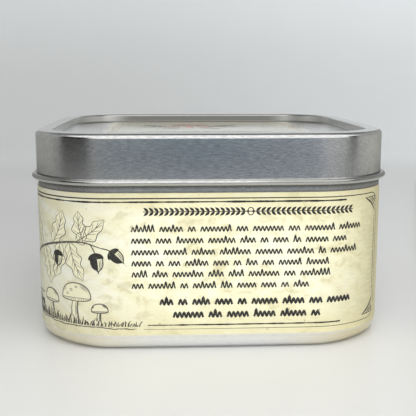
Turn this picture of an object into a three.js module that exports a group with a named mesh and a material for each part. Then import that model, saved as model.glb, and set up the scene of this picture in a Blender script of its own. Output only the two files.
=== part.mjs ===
// A square tin with round corners and a slip-on lid. A paper label runs round three of its sides, and another
// lies on the lid. Millimetres, +Z up. The origin is the middle of the base, on the plane the tin stands on.
// The long label ends on the corner between the -Y and +X sides, and the +X side is bare.
import * as THREE from "three";

// The tin as a whole.
const LID_WIDTH = 95; // over the lid's flat sides
const TIN_HEIGHT = 56.25; // from the base to the top of the lid's rim
const CORNER_RADIUS = 21.4; // of the lid's skirt, seen from above
const SIDE_RADIUS = 1350; // the sides bow out by about 0.25 mm
const SHEET = 0.25; // tinplate

// The lid.
const SKIRT_EDGE_HEIGHT = 44; // of the middle of the curl along the skirt's lower edge, above the base
const CURL_RADIUS = 0.78;
const CURL_OVERHANG = 1.28; // how far the curl stands out from the skirt
const RIM_OUTER_RADIUS = 1.2;
const RIM_INNER_RADIUS = 0.4;
const RIM_PEAK = 2.5; // from the skirt's outer face in to the rim's highest line
const RIM_SLOPE = 4; // degrees, from the outer round up to that line
const RIM_WIDTH = 4.4; // from the skirt's outer face in to where the rim's inner wall starts down
const PANEL_DEPTH = 2.65; // of the sunk top panel, below the rim
const PANEL_FILLET = 0.3; // where the rim's inner wall meets the panel
const INNER_WALL_LEAN = 3; // degrees from upright

// The tin under it.
const LID_CLEARANCE = 0.05; // between the tin's wall and the skirt, on each side
const REST_GAP = 0.4; // between the tin's curled edge and the underside of the lid's rim
const BASE_RADIUS = 3.3; // where the wall turns under, in the middle of a side
const BASE_CORNER_RADIUS = 4.4; // the same, in the middle of a corner
const FOOT_WIDTH = 1.6; // of the flat ring that the tin stands on
const BASE_RECESS = 0.6; // of the base inside that ring
const EDGE_CURL_RADIUS = 0.8; // of the tin's own edge, rolled inwards

// The two labels.
const PAPER = 0.2;
const GLUE_GAP = 0.02;
const LABEL_BOTTOM = 4.2;
const LABEL_TOP = 41.35;
const LABEL_END_TURN = 72; // degrees round the right-hand corner where the long label ends
const LID_LABEL_WIDTH = 62;
const LID_LABEL_DEPTH = 76;
const LID_LABEL_CORNER = 2; // radius

// How finely round things are faceted.
const SIDE_STEPS = 4;
const CORNER_STEPS = 10;
const ARC_STEP = 22; // degrees, on the profiles
const LABEL_CORNER_STEPS = 4;

const half = LID_WIDTH / 2;
const tinHalf = half - SHEET - LID_CLEARANCE;
const radians = THREE.MathUtils.degToRad;
const degrees = THREE.MathUtils.radToDeg;

// The plan is a ring of columns. Each has the centre of its arc, its direction and the arc's radius at the
// skirt's outer face, so an inset moves a column along its own direction and every ring stays parallel to the
// next. The ring starts at the left-hand end of the -Y side and turns towards +X.
function planColumns() {
  const reach = SIDE_RADIUS - CORNER_RADIUS;
  const bow = Math.acos((SIDE_RADIUS - half) / (Math.SQRT2 * reach)) - Math.PI / 4;
  const sideCentre = new THREE.Vector2(0, SIDE_RADIUS - half);
  const cornerCentre = new THREE.Vector2(reach * Math.sin(bow), sideCentre.y - reach * Math.cos(bow));
  const quarter = [];
  for (let i = 0; i < SIDE_STEPS; i++) {
    quarter.push({ centre: sideCentre, turn: -bow + (2 * bow * i) / SIDE_STEPS, radius: SIDE_RADIUS });
  }
  for (let i = 0; i < CORNER_STEPS; i++) {
    const turn = bow + ((Math.PI / 2 - 2 * bow) * i) / CORNER_STEPS;
    quarter.push({ centre: cornerCentre, turn, radius: CORNER_RADIUS });
  }
  const columns = [];
  for (let side = 0; side < 4; side++) {
    for (const { centre, turn, radius } of quarter) {
      const angle = turn + (side * Math.PI) / 2;
      const middle = centre.clone().rotateAround(new THREE.Vector2(), (side * Math.PI) / 2);
      columns.push({ middle, outward: new THREE.Vector2(Math.sin(angle), -Math.cos(angle)), radius });
    }
  }
  return columns;
}

const columns = planColumns();

// The point of a column where the wall's half-width, in the middle of a side, is the one given.
function planPoint(column, wallHalf) {
  const { middle, outward, radius } = columns[((column % columns.length) + columns.length) % columns.length];
  return middle.clone().addScaledVector(outward, radius + wallHalf - half);
}

// Turns a profile of (half-width, height) points round the square plan, as a lathe would round a circle.
// profileAt gives the profile for a share of the way from a side, 0, to the middle of a corner, 1.
function squareLathe(profileAt) {
  const profiles = columns.map(({ outward }) => profileAt((2 * outward.x * outward.y) ** 2));
  const rows = profiles[0].length;
  const geometry = new THREE.LatheGeometry(profiles[0], columns.length);
  const position = geometry.getAttribute("position");
  for (let i = 0; i < position.count; i++) {
    const column = Math.floor(i / rows) % columns.length;
    const { x: wallHalf, y: height } = profiles[column][i % rows];
    const point = wallHalf === 0 ? new THREE.Vector2() : planPoint(column, wallHalf);
    position.setXYZ(i, point.x, point.y, height);
  }
  geometry.computeVertexNormals();
  return geometry;
}

// Points along an arc in a profile. 0 degrees points outwards and 90 up.
function arc(centreHalf, centreHeight, radius, from, to) {
  const steps = Math.max(2, Math.ceil(Math.abs(to - from) / ARC_STEP));
  return Array.from({ length: steps + 1 }, (_, i) => {
    const angle = radians(from + ((to - from) * i) / steps);
    return new THREE.Vector2(centreHalf + radius * Math.cos(angle), centreHeight + radius * Math.sin(angle));
  });
}

// The other face of a bent sheet: the line moved to its left by the sheet's thickness.
function otherFace(line, thickness) {
  return line.map((point, i) => {
    const before = point.clone().sub(line[Math.max(i - 1, 0)]);
    const after = line[Math.min(i + 1, line.length - 1)].clone().sub(point);
    const ways = [before, after].filter((way) => way.lengthSq() > 0).map((way) => way.normalize());
    const along = ways.reduce((sum, way) => sum.add(way), new THREE.Vector2()).normalize();
    const across = new THREE.Vector2(-along.y, along.x);
    const shift = thickness / along.dot(ways[0]);
    return new THREE.Vector2(point.x === 0 ? 0 : point.x + across.x * shift, point.y + across.y * shift);
  });
}

function mesh(name, geometry, material) {
  const made = new THREE.Mesh(geometry, material);
  made.name = name;
  return made;
}

const tinplate = new THREE.MeshStandardMaterial({ color: 0xb9bec0, roughness: 0.28, metalness: 1 });
const labelPaper = new THREE.MeshStandardMaterial({ color: 0xeae6c4, roughness: 0.6, metalness: 0 });

// The lid's upper face runs from the middle of the panel, over the rim and down the skirt to the curl.
function lidSkin() {
  const panel = TIN_HEIGHT - PANEL_DEPTH;
  const lean = radians(INNER_WALL_LEAN);
  const slope = radians(RIM_SLOPE);
  const innerCentre = half - RIM_WIDTH + RIM_INNER_RADIUS;
  // The leaning wall touches both of its arcs, so the sum of their radii and the drop between their centres
  // give the distance from one centre in to the other.
  const drop = TIN_HEIGHT - RIM_INNER_RADIUS - (panel + PANEL_FILLET);
  const gap = (RIM_INNER_RADIUS + PANEL_FILLET) / Math.cos(lean) + drop * Math.tan(lean);
  const slopeRise = (RIM_PEAK - RIM_OUTER_RADIUS + RIM_OUTER_RADIUS * Math.sin(slope)) * Math.tan(slope);
  const outerCentre = TIN_HEIGHT - slopeRise - RIM_OUTER_RADIUS * Math.cos(slope);
  return [
    new THREE.Vector2(0, panel),
    ...arc(innerCentre - gap, panel + PANEL_FILLET, PANEL_FILLET, -90, -INNER_WALL_LEAN),
    ...arc(innerCentre, TIN_HEIGHT - RIM_INNER_RADIUS, RIM_INNER_RADIUS, 180 - INNER_WALL_LEAN, 90),
    new THREE.Vector2(half - RIM_PEAK, TIN_HEIGHT),
    ...arc(half - RIM_OUTER_RADIUS, outerCentre, RIM_OUTER_RADIUS, 90 - RIM_SLOPE, 0),
    new THREE.Vector2(half, SKIRT_EDGE_HEIGHT),
  ];
}

// The last point of both faces, at the skirt's edge, gives way to the curl.
function lid() {
  const outer = lidSkin();
  const inner = otherFace(outer, -SHEET);
  const curlCentre = half + CURL_OVERHANG - CURL_RADIUS;
  const meetsOuter = degrees(Math.acos((half - curlCentre) / CURL_RADIUS));
  const meetsInner = degrees(Math.acos((half - SHEET - curlCentre) / CURL_RADIUS));
  const curl = arc(curlCentre, SKIRT_EDGE_HEIGHT, CURL_RADIUS, meetsOuter, -meetsInner);
  const profile = [...outer.slice(0, -1), ...curl, ...inner.slice(0, -1).reverse()].reverse();
  return mesh("lid", squareLathe(() => profile), tinplate);
}

// The tin's outer face runs from the middle of the base, round the foot and up the wall to the curled edge.
function tinProfile(baseRadius) {
  const curlHeight = TIN_HEIGHT - SHEET - REST_GAP - EDGE_CURL_RADIUS;
  const footOuter = tinHalf - baseRadius;
  const footInner = footOuter - FOOT_WIDTH;
  const outer = [
    new THREE.Vector2(0, BASE_RECESS),
    new THREE.Vector2(footInner - BASE_RECESS, BASE_RECESS),
    new THREE.Vector2(footInner, 0),
    ...arc(footOuter, baseRadius, baseRadius, -90, 0),
    new THREE.Vector2(tinHalf, curlHeight),
  ];
  const inner = otherFace(outer, SHEET);
  const curlCentre = tinHalf - EDGE_CURL_RADIUS;
  const meetsInner = degrees(Math.acos((tinHalf - SHEET - curlCentre) / EDGE_CURL_RADIUS));
  const curl = arc(curlCentre, curlHeight, EDGE_CURL_RADIUS, 0, 360 - meetsInner);
  return [...outer.slice(0, -1), ...curl, ...inner.slice(0, -1).reverse()];
}

function tin() {
  const baseRadius = (cornerShare) => THREE.MathUtils.lerp(BASE_RADIUS, BASE_CORNER_RADIUS, cornerShare);
  return mesh("tin", squareLathe((cornerShare) => tinProfile(baseRadius(cornerShare))), tinplate);
}

// The long label is a strip round the wall, from the far end of the bare +X side, by way of the +Y, -X and -Y
// sides, to its other end on the corner between the -Y and +X sides.
function sideLabel() {
  const perSide = SIDE_STEPS + CORNER_STEPS;
  const start = SIDE_STEPS - 3 * perSide; // the far end of the +X side
  const end = SIDE_STEPS + Math.round((CORNER_STEPS * LABEL_END_TURN) / 90);
  const glued = [];
  const printed = [];
  for (let column = start; column <= end; column++) {
    glued.push(planPoint(column, tinHalf + GLUE_GAP));
    printed.push(planPoint(column, tinHalf + GLUE_GAP + PAPER));
  }
  const outline = new THREE.Shape([...printed, ...glued.reverse()]);
  const strip = new THREE.ExtrudeGeometry(outline, { depth: LABEL_TOP - LABEL_BOTTOM, bevelEnabled: false });
  const made = mesh("side_label", strip, labelPaper);
  made.position.z = LABEL_BOTTOM;
  return made;
}

// The lid's label is a rectangle with slightly rounded corners.
function lidLabel() {
  const x = LID_LABEL_WIDTH / 2;
  const y = LID_LABEL_DEPTH / 2;
  const r = LID_LABEL_CORNER;
  const outline = new THREE.Shape();
  outline.absarc(x - r, y - r, r, 0, Math.PI / 2);
  outline.absarc(r - x, y - r, r, Math.PI / 2, Math.PI);
  outline.absarc(r - x, r - y, r, Math.PI, 1.5 * Math.PI);
  outline.absarc(x - r, r - y, r, 1.5 * Math.PI, 2 * Math.PI);
  const options = { depth: PAPER, bevelEnabled: false, curveSegments: LABEL_CORNER_STEPS };
  const sheet = new THREE.ExtrudeGeometry(outline, options);
  const made = mesh("lid_label", sheet, labelPaper);
  made.position.z = TIN_HEIGHT - PANEL_DEPTH + GLUE_GAP;
  return made;
}

const part = new THREE.Group();
part.add(tin(), lid(), sideLabel(), lidLabel());

export default part;
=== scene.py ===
import math
import random

import bmesh
import bpy
from mathutils import Matrix, Vector, noise


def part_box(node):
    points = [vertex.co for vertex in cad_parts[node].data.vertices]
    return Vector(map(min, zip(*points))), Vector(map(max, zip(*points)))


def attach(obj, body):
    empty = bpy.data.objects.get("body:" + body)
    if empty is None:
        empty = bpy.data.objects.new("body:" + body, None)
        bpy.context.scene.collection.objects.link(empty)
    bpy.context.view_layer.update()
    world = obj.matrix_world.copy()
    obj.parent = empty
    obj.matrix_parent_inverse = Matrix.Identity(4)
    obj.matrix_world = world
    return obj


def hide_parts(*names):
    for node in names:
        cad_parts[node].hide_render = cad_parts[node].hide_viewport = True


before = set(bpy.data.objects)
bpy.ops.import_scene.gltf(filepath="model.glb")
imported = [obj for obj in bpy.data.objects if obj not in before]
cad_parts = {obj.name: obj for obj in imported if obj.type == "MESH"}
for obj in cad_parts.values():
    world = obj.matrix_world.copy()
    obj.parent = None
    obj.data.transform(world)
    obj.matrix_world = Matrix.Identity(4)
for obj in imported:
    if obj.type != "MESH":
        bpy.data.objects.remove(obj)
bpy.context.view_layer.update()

mm = 0.001  # shapes are worked out in millimetres and put into the scene in metres
perMap = 0.01  # the sheet maps are in units of 100 mm
tiny = 1e-6  # forgives sums that should come out even

lidLow, lidHigh = (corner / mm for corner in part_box("lid"))
tinLow, tinHigh = (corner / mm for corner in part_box("tin"))
paperLow, paperHigh = (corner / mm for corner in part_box("side_label"))
cardLow, cardHigh = (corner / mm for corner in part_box("lid_label"))


# shader helpers

class Value:
    # a node socket that can be used in a sum
    def __init__(self, finish, socket):
        self.finish = finish
        self.socket = socket

    def maths(self, operation, a, b):
        return self.finish.node("ShaderNodeMath", {"operation": operation}, {0: a, 1: b})

    def __add__(self, other):
        return self.maths("ADD", self, other)

    def __radd__(self, other):
        return self.maths("ADD", other, self)

    def __sub__(self, other):
        return self.maths("SUBTRACT", self, other)

    def __rsub__(self, other):
        return self.maths("SUBTRACT", other, self)

    def __mul__(self, other):
        return self.maths("MULTIPLY", self, other)

    def __rmul__(self, other):
        return self.maths("MULTIPLY", other, self)

    def __abs__(self):
        return self.maths("ABSOLUTE", self, 0)

    def lesser(self, other):
        return self.maths("MINIMUM", self, other)

    def greater(self, other):
        return self.maths("MAXIMUM", self, other)


class Finish:
    # one node tree, for a material or for the world
    def __init__(self, owner):
        self.owner = owner
        owner.use_nodes = True
        self.tree = owner.node_tree
        self.tree.nodes.clear()

    def node(self, kind, settings=None, inputs=None, output=0):
        made = self.tree.nodes.new(kind)
        for key, value in (settings or {}).items():
            if key == "stops":
                ramp = made.color_ramp
                while len(ramp.elements) < len(value):
                    ramp.elements.new(1)
                for element, (place, colour) in zip(ramp.elements, value):
                    element.position = place
                    element.color = (*colour, 1)
            else:
                setattr(made, key, value)
        for key, value in (inputs or {}).items():
            if isinstance(value, Value):
                self.tree.links.new(value.socket, made.inputs[key])
            else:
                made.inputs[key].default_value = value
        return Value(self, made.outputs[output]) if len(made.outputs) else None

    def noise(self, vector, scale, detail=2, roughness=0.5, distortion=0):
        return self.node("ShaderNodeTexNoise", {}, {
            "Vector": vector, "Scale": scale, "Detail": detail,
            "Roughness": roughness, "Distortion": distortion})

    def parts(self, vector):
        # the three numbers of a vector
        split = self.node("ShaderNodeSeparateXYZ", {}, {0: vector}).socket.node
        return [Value(self, split.outputs[i]) for i in range(3)]

    def scaled(self, vector, factors):
        return self.node("ShaderNodeVectorMath", {"operation": "MULTIPLY"}, {0: vector, 1: factors})

    def ease(self, value, low, high, start=0, end=1):
        # goes smoothly from start to end while value goes from low to high
        return self.node("ShaderNodeMapRange", {"interpolation_type": "SMOOTHSTEP"}, {
            "Value": value, "From Min": low, "From Max": high, "To Min": start, "To Max": end})

    def blend(self, factor, a, b):
        # mixes two colours
        a, b = ((*c, 1) if isinstance(c, tuple) else c for c in (a, b))
        return self.node("ShaderNodeMix", {"data_type": "RGBA"}, {0: factor, 6: a, 7: b}, output=2)

    def bump(self, height, strength, distance):
        return self.node("ShaderNodeBump", {}, {"Height": height, "Strength": strength, "Distance": distance})

    def surface(self, inputs):
        shader = self.node("ShaderNodeBsdfPrincipled", {}, inputs)
        self.node("ShaderNodeOutputMaterial", {}, {"Surface": shader})
        return self.owner


# the square plan that the tin, the lid and the label share
plan = dict(
    lidHalf=47.5,  # half of the width over the lid's skirt, in the middle of a side
    cornerRadius=21.4,  # of the skirt
    sideRadius=1350,  # the sides bow out a little
)
reach = plan["sideRadius"] - plan["cornerRadius"]
bow = math.acos((plan["sideRadius"] - plan["lidHalf"]) / (math.sqrt(2) * reach)) - math.pi / 4
paperHalf = -paperLow.x
paperInset = plan["lidHalf"] - paperHalf
flatRun = bow * (plan["sideRadius"] - paperInset)  # half of a side, measured along the paper's face
cornerRun = (math.pi / 2 - 2 * bow) * (plan["cornerRadius"] - paperInset)
sideRun = 2 * flatRun + cornerRun


def planColumn(run):
    # run goes along the paper's face, from the middle of the -Y side towards +X
    quarter = math.floor(run / sideRun + 0.5)
    local = run - quarter * sideRun
    over = abs(local) - flatRun
    if over <= 0:
        angle = local / (plan["sideRadius"] - paperInset)
        centre = Vector((0, plan["sideRadius"] - plan["lidHalf"]))
        radius = plan["sideRadius"]
    else:
        angle = math.copysign(bow + over / (plan["cornerRadius"] - paperInset), local)
        middle = Vector((0, plan["sideRadius"] - plan["lidHalf"]))
        centre = middle + reach * Vector((math.copysign(math.sin(bow), local), -math.cos(bow)))
        radius = plan["cornerRadius"]
    turn = Matrix.Rotation(quarter * math.pi / 2, 2)
    return turn @ centre, turn @ Vector((math.sin(angle), -math.cos(angle))), radius


def planPoint(column, half):
    # the column's point on a wall whose half-width is given
    centre, outward, radius = column
    return centre + outward * (radius + half - plan["lidHalf"])


def steps(low, high, size):
    count = max(1, math.ceil((high - low) / size - tiny))
    return [low + (high - low) * i / count for i in range(count + 1)]


def wrapRuns(low, high, cornerStep=0.8, flatStep=2.6):
    # stations from low to high, closer together where the plan turns
    stations = [low]
    while stations[-1] < high - tiny:
        local = stations[-1] - math.floor(stations[-1] / sideRun + 0.5) * sideRun
        stride = flatStep if -flatRun - tiny <= local < flatRun - flatStep else cornerStep
        stations.append(min(high, stations[-1] + stride))
    return stations


# mesh helpers

def addPiece(name, points, faces, finish, uvs=None, smooth=True):
    # points in millimetres
    mesh = bpy.data.meshes.new(name)
    mesh.from_pydata([Vector(p) * mm for p in points], [], faces)
    if uvs:
        layer = mesh.uv_layers.new(name="sheet")
        for loop in mesh.loops:
            layer.data[loop.index].uv = uvs[loop.vertex_index]
    work = bmesh.new()
    work.from_mesh(mesh)
    bmesh.ops.recalc_face_normals(work, faces=work.faces)
    work.to_mesh(mesh)
    work.free()
    for polygon in mesh.polygons:
        polygon.use_smooth = smooth
    piece = bpy.data.objects.new(name, mesh)
    bpy.context.scene.collection.objects.link(piece)
    mesh.materials.append(finish)
    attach(piece, "root")
    return piece


def arc(centre, radius, low, high, size=9):
    # in a profile, 0 degrees points outwards and 90 up
    count = max(2, math.ceil(abs(high - low) / size))
    angles = [math.radians(low + (high - low) * i / count) for i in range(count + 1)]
    return [Vector((centre[0] + radius * math.cos(a), centre[1] + radius * math.sin(a))) for a in angles]


def otherFace(line, thickness):
    # the line moved to its left by the sheet's thickness
    moved = []
    for i, point in enumerate(line):
        ways = [point - line[i - 1]] if i else []
        ways += [line[i + 1] - point] if i + 1 < len(line) else []
        ways = [way.normalized() for way in ways if way.length > 1e-9]
        along = sum(ways, Vector((0, 0))).normalized()
        shift = thickness / along.dot(ways[0])
        x = 0 if point.x == 0 else point.x - along.y * shift
        moved.append(Vector((x, point.y + along.x * shift)))
    return moved


def withSupports(profile, gap=0.12, longest=1.0):
    # extra points close to each end of a long stretch keep its shading flat
    made = [profile[0]]
    for a, b in zip(profile, profile[1:]):
        if (b - a).length > longest:
            way = (b - a).normalized() * gap
            made += [a + way, b - way] if a.x else [b - way]
        made.append(b)
    return made


def squareLathe(name, profileAt, finish):
    # turns a profile from pole to pole round the square plan. profileAt takes 0 in the middle of a side
    # and 1 in the middle of a corner
    ring = [planColumn(run) for run in wrapRuns(-flatRun, 4 * sideRun - flatRun)[:-1]]
    profiles = [withSupports(profileAt((2 * outward.x * outward.y) ** 2)) for _, outward, _ in ring]
    points, uvs, rows = [], [], []
    travelled = [0] * len(ring)
    for row in range(len(profiles[0])):
        pole = profiles[0][row].x == 0
        rows.append([])
        for i in range(1 if pole else len(ring)):
            spot = profiles[i][row]
            travelled[i] += (spot - profiles[i][row - 1]).length if row else 0
            rows[-1].append(len(points))
            points.append((0, 0, spot.y) if pole else (*planPoint(ring[i], spot.x), spot.y))
            # the sheet's own plane, before it was drawn into shape
            uvs.append(planPoint(ring[i], travelled[i]) * perMap if row else (0, 0))
    faces = []
    for low, high in zip(rows, rows[1:]):
        for i in range(len(ring)):
            j = (i + 1) % len(ring)
            if len(low) == 1:
                faces.append((low[0], high[i], high[j]))
            elif len(high) == 1:
                faces.append((low[i], high[0], low[j]))
            else:
                faces.append((low[i], high[i], high[j], low[j]))
    return addPiece(name, points, faces, finish, uvs)


# tinplate
plate = dict(
    bright=(0.84, 0.845, 0.84), roughness=0.19,
    grain=(60, 420, 1), strand=(60, 240, 1), cloud=24,  # scales of the rolling streaks on the sheet map
    streakRange=(0.38, 0.62), streakShade=0.22, streakGloss=0.1, streakDepth=0.1,
)


def plateFinish(name, grained, wearAndPaintedLight):
    # grained is how much the rolling streaks show, and the last argument lays painted shade, painted
    # highlights and painted reflections on the piece, and dulls the lid's inner wall
    f = Finish(bpy.data.materials.new(name))
    sheet = f.node("ShaderNodeTexCoord", output="UV")
    grain = f.noise(f.scaled(sheet, plate["grain"]), 1, 3, 0.65)
    strand = f.noise(f.scaled(sheet, plate["strand"]), 1, 3, 0.65)
    cloud = f.noise(sheet, plate["cloud"], 4, 0.65)
    tone = f.ease(grain * 0.5 + strand * 0.35 + cloud * 0.15, *plate["streakRange"])
    dark = tuple(c * (1 - plate["streakShade"] * grained) for c in plate["bright"])
    rough = plate["roughness"] + (grain - 0.5) * plate["streakGloss"] * grained
    colour, rough = wearAndPaintedLight(f, f.blend(tone, dark, plate["bright"]), rough, tone)
    return f.surface({
        "Base Color": colour,
        "Metallic": 1.0,
        "Roughness": rough,
        "Normal": f.bump(grain * 0.6 + strand * 0.4, plate["streakDepth"] * grained, 0.00002),
    })


lidPaintedLight = dict(  # painted shade, a painted highlight and painted reflections on the lid; places in metres
    rim=(0.0558, 0.0560), rimTone=(0.58, 0.58, 0.565),  # painted reflection: the top of the rim is painted darker
    wall=(0.0559, 0.0556), wallFacing=(-0.01, -0.03), wallDulled=0.2,  # the rim's inner wall
    # painted reflection on the far side's inner wall: dark in the middle, pale towards the ends
    farWall=(0.015, 0.03), farSpan=(0.038, 0.024), farEnds=(0.97, 0.97, 0.95), farMiddle=(0.27, 0.27, 0.255),
    # painted shade at the foot of the inner wall, where it meets the panel
    fillet=(0.0541, 0.0539), filletTone=(0.4, 0.4, 0.385),
    # painted shade over the whole curl, which dims its highlight
    curl=(0.0002, 0.0006), curlTop=(0.0465, 0.0460), curlTone=(0.47, 0.47, 0.45),
    # where the curl's top keeps its highlight: the painted shade is lifted over this stretch
    curlLit=0.9, curlLitStart=(-0.034, -0.026), curlLitEnd=(0.006, 0.02), curlLitHeight=(0.0439, 0.0442),
    crevice=(0.0452, 0.0448), creviceSpan=(0.034, 0.043),  # painted shadow in the crease over the curl, at the corners
    creviceTone=(0.1, 0.1, 0.095), creviceShaded=0.8,
)


def paintLidLight(f, colour, rough, tone):
    w = lidPaintedLight
    x, y, z = f.parts(f.node("ShaderNodeTexCoord", output="Object"))
    facingX, facingY, _ = f.parts(f.node("ShaderNodeNewGeometry", output="Normal"))
    wall = f.ease(facingX * x + facingY * y, *w["wallFacing"]) * f.ease(z, *w["wall"])
    # painted reflection: the top of the rim is painted darker
    colour = f.blend(f.ease(z, *w["rim"]), colour, w["rimTone"])
    # painted reflection on the far side's inner wall: dark in the middle, pale towards the ends
    farTone = f.blend(f.ease(abs(x), *w["farSpan"]), w["farEnds"], w["farMiddle"])
    colour = f.blend(wall * f.ease(y, *w["farWall"]), colour, farTone)
    # painted shade at the foot of the inner wall, where it meets the panel
    colour = f.blend(wall * f.ease(z, *w["fillet"]), colour, w["filletTone"])
    # the curl is what stands out beyond the skirt's round corners and sides
    radius = plan["cornerRadius"] * mm
    centre = plan["lidHalf"] * mm - radius
    past = f.node("ShaderNodeCombineXYZ", {}, {
        0: (abs(x) - centre).greater(0), 1: (abs(y) - centre).greater(0)})
    distance = f.node("ShaderNodeVectorMath", {"operation": "LENGTH"}, {0: past}, output="Value")
    curl = f.ease(distance - radius, *w["curl"]) * f.ease(z, *w["curlTop"])
    # the stretch of the curl's top where the painted shade is lifted, so its highlight shows
    curlLit = f.ease(x, *w["curlLitStart"]) * f.ease(x, *w["curlLitEnd"], 1, 0) * f.ease(z, *w["curlLitHeight"])
    # painted shade over the curl, lifted where its highlight shows
    colour = f.blend(curl * (1 - curlLit * w["curlLit"]), colour, w["curlTone"])
    # painted shadow in the crease over the curl, at the corners
    crevice = f.ease(z, *w["crevice"]) * f.ease(abs(x), *w["creviceSpan"]) * (1 - curl)
    return f.blend(crevice * w["creviceShaded"], colour, w["creviceTone"]), rough + wall * w["wallDulled"]


tinPaintedLight = dict(  # painted shade and a painted reflection on the tin, and a darker band over the label; places in metres
    neck=(0.0406, 0.0414), neckTones=((0.56, 0.56, 0.54), (0.76, 0.76, 0.74)),  # painted shade on the neck, under the lid's curl
    lip=(0.0423, 0.0415), lipFoot=(0.0410, 0.0413), lipTone=(0.2, 0.2, 0.19), lipDarkened=0.5,  # darker in a band just over the label's top edge
    wall=(0.0418, 0.0432), wallTone=(0.12, 0.12, 0.115), wallShaded=0.8,  # painted shadow close under the curl
    foot=(0.0048, 0.003), footSpan=(0.01, 0.045), footMirrored=0.7,  # painted shade and a painted reflection of the label's tan paper, towards both ends
    footEnd=(0.02, 0.045), endMirrored=0.25, footTone=(0.76, 0.68, 0.42),  # and more of the painted reflection on the right
)


def paintTinLight(f, colour, rough, tone):
    w = tinPaintedLight
    x, _, z = f.parts(f.node("ShaderNodeTexCoord", output="Object"))
    # painted shade on the neck, under the lid's curl
    colour = f.blend(f.ease(z, *w["neck"]), colour, f.blend(tone, *w["neckTones"]))
    # darker in a band just over the label's top edge
    lip = f.ease(z, *w["lip"]) * f.ease(z, *w["lipFoot"])
    colour = f.blend(lip * w["lipDarkened"], colour, w["lipTone"])
    # painted shadow close under the curl
    colour = f.blend(f.ease(z, *w["wall"]) * w["wallShaded"], colour, w["wallTone"])
    # painted shade and a painted reflection of the label's tan paper on the foot, more on the right
    mirroredPaper = f.ease(abs(x), *w["footSpan"]) * w["footMirrored"] + f.ease(x, *w["footEnd"]) * w["endMirrored"]
    return f.blend(mirroredPaper * f.ease(z, *w["foot"]), colour, w["footTone"]), rough


lidPlate = plateFinish("tinplate_lid", 1, paintLidLight)
tinPlate = plateFinish("tinplate_tin", 0.4, paintTinLight)


# the lid
lidShape = dict(
    sheet=0.25,
    curlHeight=44, curlRadius=0.78,
    rimOuter=1.2, rimInner=0.4, rimPeak=2.5, rimWidth=4.4, rimSlope=4,
    panelDepth=2.65, panelFillet=0.3, lean=3,
)


def lidSkin():
    s = lidShape
    half, top = plan["lidHalf"], lidHigh.z
    panel = top - s["panelDepth"]
    lean, slope = math.radians(s["lean"]), math.radians(s["rimSlope"])
    innerCentre = half - s["rimWidth"] + s["rimInner"]
    drop = top - s["rimInner"] - (panel + s["panelFillet"])
    filletCentre = innerCentre - (s["rimInner"] + s["panelFillet"]) / math.cos(lean) - drop * math.tan(lean)
    rise = (s["rimPeak"] - s["rimOuter"] * (1 - math.sin(slope))) * math.tan(slope)
    outerCentre = top - rise - s["rimOuter"] * math.cos(slope)
    return [
        Vector((0, panel)),
        *arc((filletCentre, panel + s["panelFillet"]), s["panelFillet"], -90, -s["lean"]),
        *arc((innerCentre, top - s["rimInner"]), s["rimInner"], 180 - s["lean"], 90),
        Vector((half - s["rimPeak"], top)),
        *arc((half - s["rimOuter"], outerCentre), s["rimOuter"], 90 - s["rimSlope"], 0, 6),
        Vector((half, s["curlHeight"])),
    ]


def makeLid():
    s = lidShape
    outer = lidSkin()
    inner = otherFace(outer, -s["sheet"])
    centre = lidHigh.x - s["curlRadius"]
    meetsOuter = math.degrees(math.acos((plan["lidHalf"] - centre) / s["curlRadius"]))
    meetsInner = math.degrees(math.acos((plan["lidHalf"] - s["sheet"] - centre) / s["curlRadius"]))
    curl = arc((centre, s["curlHeight"]), s["curlRadius"], meetsOuter, -meetsInner)
    lid = squareLathe("lid_shell", lambda share: outer[:-1] + curl + inner[-2::-1], lidPlate)
    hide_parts("lid")


makeLid()
print("lid made")


# the tin
tinShape = dict(
    sheet=0.25,
    baseRadius=3.3, baseCornerRadius=4.4, footWidth=1.6, baseRecess=0.6,
    edgeCurl=0.8,
)


def tinProfile(cornerShare):
    s = tinShape
    half = tinHigh.x
    baseRadius = s["baseRadius"] + (s["baseCornerRadius"] - s["baseRadius"]) * cornerShare
    footOuter = half - baseRadius
    footInner = footOuter - s["footWidth"]
    curlHeight = tinHigh.z - s["edgeCurl"]
    outer = [
        Vector((0, s["baseRecess"])),
        Vector((footInner - s["baseRecess"], s["baseRecess"])),
        Vector((footInner, 0)),
        *arc((footOuter, baseRadius), baseRadius, -90, 0),
        Vector((half, curlHeight)),
    ]
    inner = otherFace(outer, s["sheet"])
    centre = half - s["edgeCurl"]
    meets = math.degrees(math.acos((half - s["sheet"] - centre) / s["edgeCurl"]))
    curl = arc((centre, curlHeight), s["edgeCurl"], 0, 360 - meets)
    return outer[:-1] + curl + inner[-2::-1]


def makeTin():
    tin = squareLathe("tin_body", tinProfile, tinPlate)
    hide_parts("tin")


makeTin()
print("tin made")


# the paper of both labels
paper = dict(
    thickness=0.2, cornerRadius=2.2,
    pale=(0.94, 0.93, 0.74), cream=(0.85, 0.81, 0.54), tan=(0.64, 0.56, 0.29), stain=(0.6, 0.54, 0.31),
    brown=(0.3, 0.2, 0.08), grey=(0.7, 0.69, 0.52), fibre=(0.5, 0.49, 0.36),
    edgeWidth=0.06, browned=0.28,  # how far the edges and the right end are browned, on the sheet map
    rays=17, ray=(0.97, 0.965, 0.88), rayStrength=0.8,
    rayCentre=(-0.848, 0.5), rayReach=(0.25, 0.85),  # on the sheet map
    shade=(0.3, 0.31, 0.27), shaded=0.37, shadeRuns=(-0.12, -0.44),  # the left end's shadow
    lidReflection=(0.4, 0.5, 0.66), lidReflected=0.25,  # a painted bluish-grey reflection on the lid's label
)
labelRuns = dict(low=flatRun - 3 * sideRun, high=flatRun + 0.8 * cornerRun)


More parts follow.
